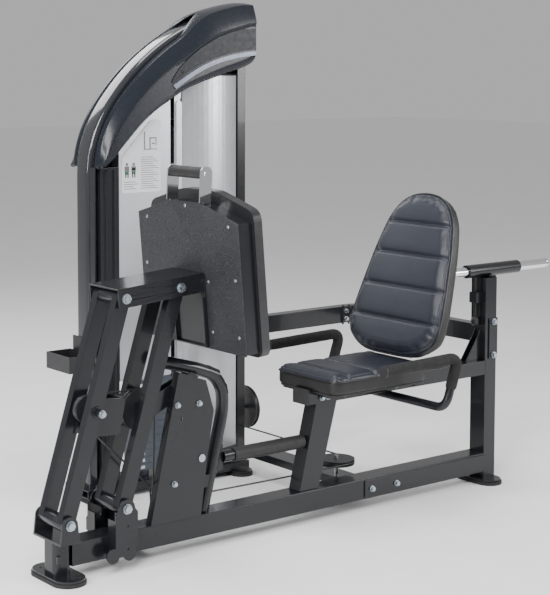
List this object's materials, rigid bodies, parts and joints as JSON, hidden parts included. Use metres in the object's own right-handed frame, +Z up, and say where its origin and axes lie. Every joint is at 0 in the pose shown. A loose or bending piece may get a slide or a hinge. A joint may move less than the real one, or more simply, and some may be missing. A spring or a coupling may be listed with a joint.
{
  "type": "seated leg press machine",
  "caption": "Seated leg press: padded seat and reclined back pad on a rail, footplate on a swinging parallelogram, and a cable to a weight-stack tower.",
  "frame": {"origin": "centre of the front foot, on the floor", "axes": "+X along the floor rail from the footplate end to the seat end, +Y towards the weight-stack tower, +Z up"},
  "size_m": [2.302, 1.1558, 1.8286],
  "materials": {
    "frame_paint": "satin powder coat",
    "foot_rubber": "matte",
    "zinc_bolt": "satin",
    "cap_plastic": "matte",
    "pad_leather": "soft sheen",
    "grip_rubber": "matte",
    "grip_foam": "matte foam",
    "arc_paint": "glossy metallic",
    "panel_silver": "metallic satin",
    "shroud_plastic": "glossy",
    "tray_plastic": "matte",
    "chrome_rod": "polished",
    "weight_iron": "satin grey coating",
    "cable_sheath": "matte",
    "speckled_paint": "speckled texture",
    "plate_plastic": "matte",
    "pulley_nylon": "satin",
    "pin_yellow": "glossy"
  },
  "bodies": {
    "frame": {"rail": "frame_paint", "rubber_feet": "foot_rubber", "front_column": "frame_paint", "left_clevis": "frame_paint", "middle_bracket": "frame_paint", "splice_plates": "frame_paint", "frame_bolts": "zinc_bolt", "pivot_bolts": "zinc_bolt", "seat_post": "frame_paint", "seat_tube": "frame_paint", "tube_caps": "cap_plastic", "seat_plate": "frame_paint", "seat_pad": "pad_leather", "step_bar": "frame_paint", "step_sleeve": "grip_rubber", "d_frame": "frame_paint", "guard_plate": "frame_paint", "handle_tube": "frame_paint", "handle_grips": "grip_foam", "rear_post": "frame_paint", "rear_plates": "frame_paint", "back_sleeve": "frame_paint", "cross_tube": "frame_paint", "lower_link": "frame_paint", "front_link": "frame_paint", "tower_base": "frame_paint", "tower_arc": "arc_paint", "tower_columns": "frame_paint", "tower_panels": "panel_silver", "tower_cover": "panel_silver", "shroud": "shroud_plastic", "tray": "tray_plastic", "guide_rods": "chrome_rod", "weight_plates": "weight_iron", "pulley_axles": "zinc_bolt", "cable_front": "cable_sheath", "cable_rear": "cable_sheath", "cable_drop": "cable_sheath"},
    "front_arm": {"front_arm": "frame_paint", "arm_pulley_bracket": "frame_paint"},
    "rear_arm": {"rear_arm": "frame_paint"},
    "carriage": {"beam": "frame_paint", "carriage_bolts": "zinc_bolt", "footplate_sheet": "speckled_paint", "footplate_pan": "frame_paint", "footplate_face": "plate_plastic", "plate_handle": "chrome_rod", "plate_grip": "grip_rubber"},
    "arm_pulley": {"arm_pulley": "pulley_nylon"},
    "upper_pulley": {"upper_pulley": "pulley_nylon"},
    "lower_pulley": {"lower_pulley": "pulley_nylon"},
    "redirect_pulley": {"redirect_pulley": "pulley_nylon"},
    "tower_pulley": {"tower_pulley": "pulley_nylon"},
    "top_pulley_outer": {"top_pulley_outer": "pulley_nylon"},
    "top_pulley_inner": {"top_pulley_inner": "pulley_nylon"},
    "stack": {"lifted_plates": "weight_iron"},
    "selector": {"selector_pin": "pin_yellow"},
    "backrest": {"back_pad": "pad_leather", "slide_tube": "chrome_rod"},
    "pop_pin": {"pop_pin": "cap_plastic"}
  },
  "joints": [
    {"name": "arm_swing", "type": "hinge", "parent": "frame", "child": "front_arm", "pos_m": [-0.007, 0, 0.187], "axis": [0, -1, 0], "range_deg": [0, 35], "deforming": ["cable_front"]},
    {"name": "rear_arm_swing", "type": "hinge", "parent": "frame", "child": "rear_arm", "pos_m": [0.202, 0, 0.204], "axis": [0, -1, 0], "range_deg": [0, 35]},
    {"name": "footplate_level", "type": "hinge", "parent": "front_arm", "child": "carriage", "pos_m": [0.203, 0, 0.871], "axis": [0, 1, 0], "range_deg": [0, 35]},
    {"name": "arm_pulley_spin", "type": "hinge", "parent": "front_arm", "child": "arm_pulley", "pos_m": [0.105, 0, 0.522], "axis": [0, 1, 0], "range_deg": [0, 278]},
    {"name": "upper_pulley_spin", "type": "hinge", "parent": "frame", "child": "upper_pulley", "pos_m": [0.3, 0, 0.495], "axis": [0, -1, 0], "range_deg": [0, 351]},
    {"name": "lower_pulley_spin", "type": "hinge", "parent": "frame", "child": "lower_pulley", "pos_m": [0.412, 0, 0.222], "axis": [0, 1, 0], "range_deg": [0, 429]},
    {"name": "redirect_pulley_spin", "type": "hinge", "parent": "frame", "child": "redirect_pulley", "pos_m": [1.24, 0.1, 0.157], "axis": [0, 0, -1], "range_deg": [0, 351]},
    {"name": "tower_pulley_spin", "type": "hinge", "parent": "frame", "child": "tower_pulley", "pos_m": [1.307, 0.727, 0.236], "axis": [-1, 0, 0], "range_deg": [0, 279]},
    {"name": "top_pulley_outer_spin", "type": "hinge", "parent": "frame", "child": "top_pulley_outer", "pos_m": [1.25541, 0.79587, 1.45], "axis": [-0.2519, 0.9677, 0], "range_deg": [0, 429]},
    {"name": "top_pulley_inner_spin", "type": "hinge", "parent": "frame", "child": "top_pulley_inner", "pos_m": [0.95159, 0.71343, 1.45], "axis": [-0.2519, 0.9677, 0], "range_deg": [0, 429]},
    {"name": "stack_lift", "type": "slide", "parent": "frame", "child": "stack", "axis": [0, 0, 1], "range_m": [0, 0.4], "deforming": ["cable_drop"]},
    {"name": "pin_pull", "type": "slide", "parent": "stack", "child": "selector", "axis": [0, -1, 0], "range_m": [0, 0.07]},
    {"name": "backrest_slide", "type": "slide", "parent": "frame", "child": "backrest", "axis": [1, 0, 0], "range_m": [-0.14, 0.18]},
    {"name": "pop_pin_pull", "type": "slide", "parent": "frame", "child": "pop_pin", "axis": [0, 0, -1], "range_m": [0, 0.014], "stiffness_N_per_m": 700, "springref_m": -0.008}
  ],
  "couplings": [
    {"joint": "rear_arm_swing", "follows": "arm_swing", "ratio": 1},
    {"joint": "footplate_level", "follows": "arm_swing", "ratio": 1},
    {"joint": "arm_pulley_spin", "follows": "arm_swing", "ratio": 7.8693},
    {"joint": "upper_pulley_spin", "follows": "arm_swing", "ratio": 9.9541},
    {"joint": "lower_pulley_spin", "follows": "arm_swing", "ratio": 12.195},
    {"joint": "redirect_pulley_spin", "follows": "arm_swing", "ratio": 9.9541},
    {"joint": "tower_pulley_spin", "follows": "arm_swing", "ratio": 7.8979},
    {"joint": "top_pulley_outer_spin", "follows": "arm_swing", "ratio": 12.195},
    {"joint": "top_pulley_inner_spin", "follows": "arm_swing", "ratio": 12.195},
    {"joint": "stack_lift", "follows": "arm_swing", "m_per_rad": 0.65}
  ]
}
